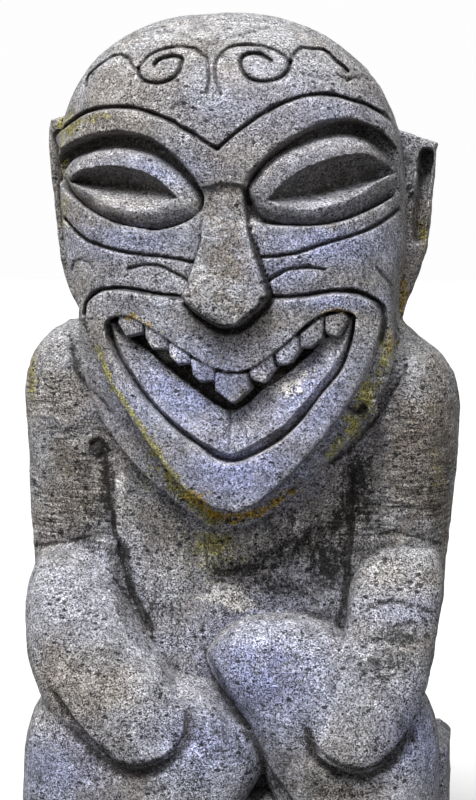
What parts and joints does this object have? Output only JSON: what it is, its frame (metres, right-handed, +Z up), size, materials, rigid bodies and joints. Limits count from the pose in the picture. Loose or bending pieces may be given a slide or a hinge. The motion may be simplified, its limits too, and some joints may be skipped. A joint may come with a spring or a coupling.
{
  "type": "tiki statue",
  "caption": "Seated tiki figure carved in one piece from dark volcanic stone, with a wide toothed grin, slit eyes, scrolled forehead and crossed legs, on a low base.",
  "frame": {"origin": "centre of the base's underside", "axes": "+Z up, the figure faces -Y, +X to the viewer's right"},
  "size_m": [0.62, 0.5, 1.2579],
  "materials": {
    "stone": "dull, coarse, weathered volcanic stone with open pores"
  },
  "bodies": {
    "root": {"tiki_statue": "stone"}
  },
  "joints": []
}
